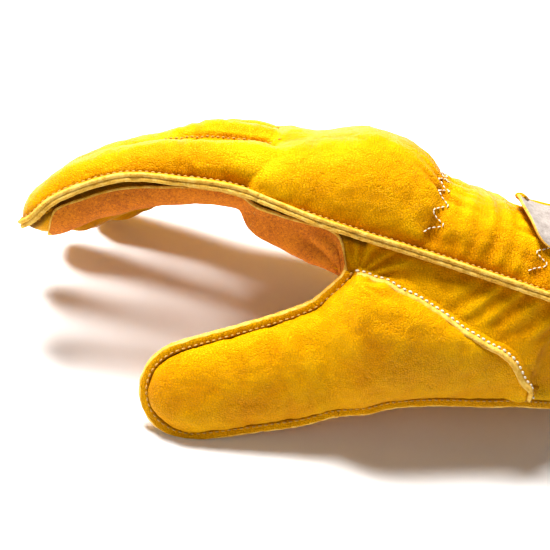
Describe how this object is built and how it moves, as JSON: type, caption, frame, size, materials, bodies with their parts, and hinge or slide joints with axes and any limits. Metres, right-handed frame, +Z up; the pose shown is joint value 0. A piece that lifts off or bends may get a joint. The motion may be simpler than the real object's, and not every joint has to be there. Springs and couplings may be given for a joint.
{
  "type": "beekeeping glove",
  "caption": "Yellow leather work glove for the right hand with outseams, a suede patch under the index finger and a gathered wrist, lying with its thumb open.",
  "frame": {"origin": "on the floor, under the middle of the glove's bounding box", "axes": "+X runs level from the fingertips to the cuff, +Y towards the little-finger side, +Z up from the floor the glove lies on"},
  "size_m": [0.2608, 0.1452, 0.1068],
  "materials": {
    "grain_leather": "golden yellow grain leather, satin",
    "palm_suede": "orange suede split, matt",
    "flesh_leather": "pale flesh side of leather, fuzzy",
    "elastic_tape": "woven elastic tape",
    "seam_thread": "yellow sewing thread",
    "white_thread": "off-white sewing thread"
  },
  "bodies": {
    "hand": {"back_panel": "grain_leather", "cuff_binding": "grain_leather", "front_elastic": "elastic_tape", "front_shirring": "white_thread", "index_side_thread": "seam_thread", "little_side_thread": "seam_thread", "palm_panel": "grain_leather", "palm_patch": "palm_suede", "rear_elastic": "elastic_tape", "rear_shirring": "white_thread", "side_panel": "grain_leather", "thumb_base": "grain_leather", "thumb_seam_thread": "white_thread"},
    "index": {"index_back": "grain_leather", "index_far_wall": "grain_leather", "index_front": "grain_leather", "index_outseam_thread": "seam_thread", "index_patch": "palm_suede"},
    "middle": {"middle_back": "grain_leather", "middle_far_wall": "grain_leather", "middle_front": "grain_leather", "middle_near_wall": "grain_leather"},
    "ring": {"ring_back": "grain_leather", "ring_far_wall": "grain_leather", "ring_front": "grain_leather", "ring_near_wall": "grain_leather"},
    "little": {"little_back": "grain_leather", "little_front": "grain_leather", "little_near_wall": "grain_leather", "little_outseam_thread": "seam_thread"},
    "thumb": {"thumb_inner": "grain_leather", "thumb_outer": "grain_leather", "thumb_outseam_thread": "seam_thread"},
    "tab": {"wrist_tab": "flesh_leather"}
  },
  "joints": [
    {"name": "index_root", "type": "hinge", "parent": "hand", "child": "index", "pos_m": [-0.02841, -0.00182, 0.08231], "axis": [0, -0.8918, 0.4524], "range_deg": [-10, 30], "stiffness_Nm_per_rad": 0.9},
    {"name": "middle_root", "type": "hinge", "parent": "hand", "child": "middle", "pos_m": [-0.02841, 0.01976, 0.07137], "axis": [0, -0.8918, 0.4524], "range_deg": [-10, 30], "stiffness_Nm_per_rad": 0.9},
    {"name": "ring_root", "type": "hinge", "parent": "hand", "child": "ring", "pos_m": [-0.02867, 0.03932, 0.05753], "axis": [0, -0.8918, 0.4524], "range_deg": [-10, 30], "stiffness_Nm_per_rad": 0.9},
    {"name": "little_root", "type": "hinge", "parent": "hand", "child": "little", "pos_m": [-0.0292, 0.05604, 0.04122], "axis": [0, -0.8918, 0.4524], "range_deg": [-10, 30], "stiffness_Nm_per_rad": 0.9},
    {"name": "thumb_root", "type": "hinge", "parent": "hand", "child": "thumb", "pos_m": [0.01341, -0.03934, 0.0371], "axis": [0, -0.8918, 0.4524], "range_deg": [-18, 6], "stiffness_Nm_per_rad": 0.9},
    {"name": "tab_flap", "type": "hinge", "parent": "hand", "child": "tab", "pos_m": [0.08976, 0.03572, 0.08006], "axis": [0, 0.8918, -0.4524], "range_deg": [0, 60], "stiffness_Nm_per_rad": 0.01}
  ]
}
